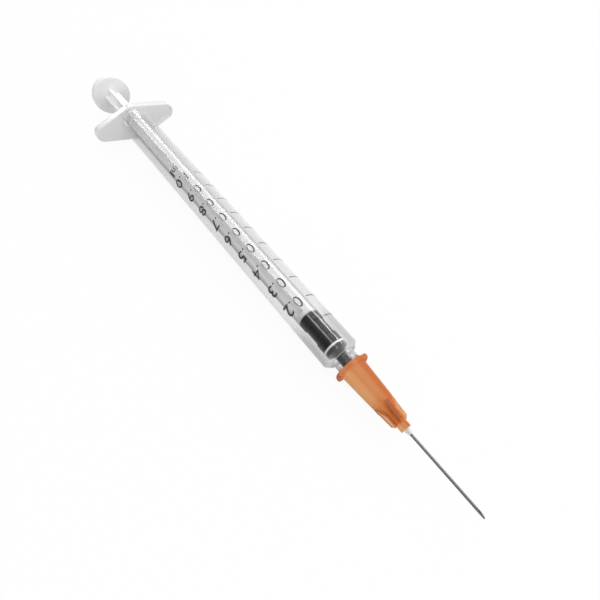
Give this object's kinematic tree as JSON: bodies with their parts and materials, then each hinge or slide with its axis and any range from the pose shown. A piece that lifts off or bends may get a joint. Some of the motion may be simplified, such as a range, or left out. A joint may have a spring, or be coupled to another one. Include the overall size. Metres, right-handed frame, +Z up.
{
  "type": "slip tip syringe with needle",
  "caption": "Slim clear syringe with finger flange, ribbed plunger, black stopper and an orange-hubbed bevelled needle on its slip tip.",
  "frame": {"origin": "on the ground under the middle of the syringe's length, lying on its side", "axes": "+X along the syringe towards the needle's point, +Y along the finger flange, +Z up from the surface that it lies on"},
  "size_m": [0.1428, 0.023, 0.011],
  "materials": {
    "clear_barrel": "clear glossy moulding",
    "black_rubber": "smooth lubricated rubber",
    "clear_rod": "milky clear moulding",
    "orange_hub": "translucent orange moulding",
    "cannula_steel": "drawn stainless tube",
    "clear_bond": "clear cured adhesive"
  },
  "bodies": {
    "barrel": {"barrel": "clear_barrel"},
    "stopper": {"stopper": "black_rubber"},
    "plunger": {"plunger_rod": "clear_rod"},
    "needle": {"needle_hub": "orange_hub", "cannula": "cannula_steel", "adhesive_bead": "clear_bond"}
  },
  "joints": [
    {"name": "plunger_slide", "type": "slide", "parent": "barrel", "child": "stopper", "axis": [-0.9999, 0, 0.0142], "range_m": [0, 0.076]},
    {"name": "rod_spin", "type": "hinge", "parent": "stopper", "child": "plunger", "pos_m": [0.03476, 0, 0.00402], "axis": [0.9999, 0, -0.0142], "continuous": true},
    {"name": "needle_pull", "type": "slide", "parent": "barrel", "child": "needle", "axis": [0.9999, 0, -0.0142], "range_m": [0, 0.0055]}
  ]
}
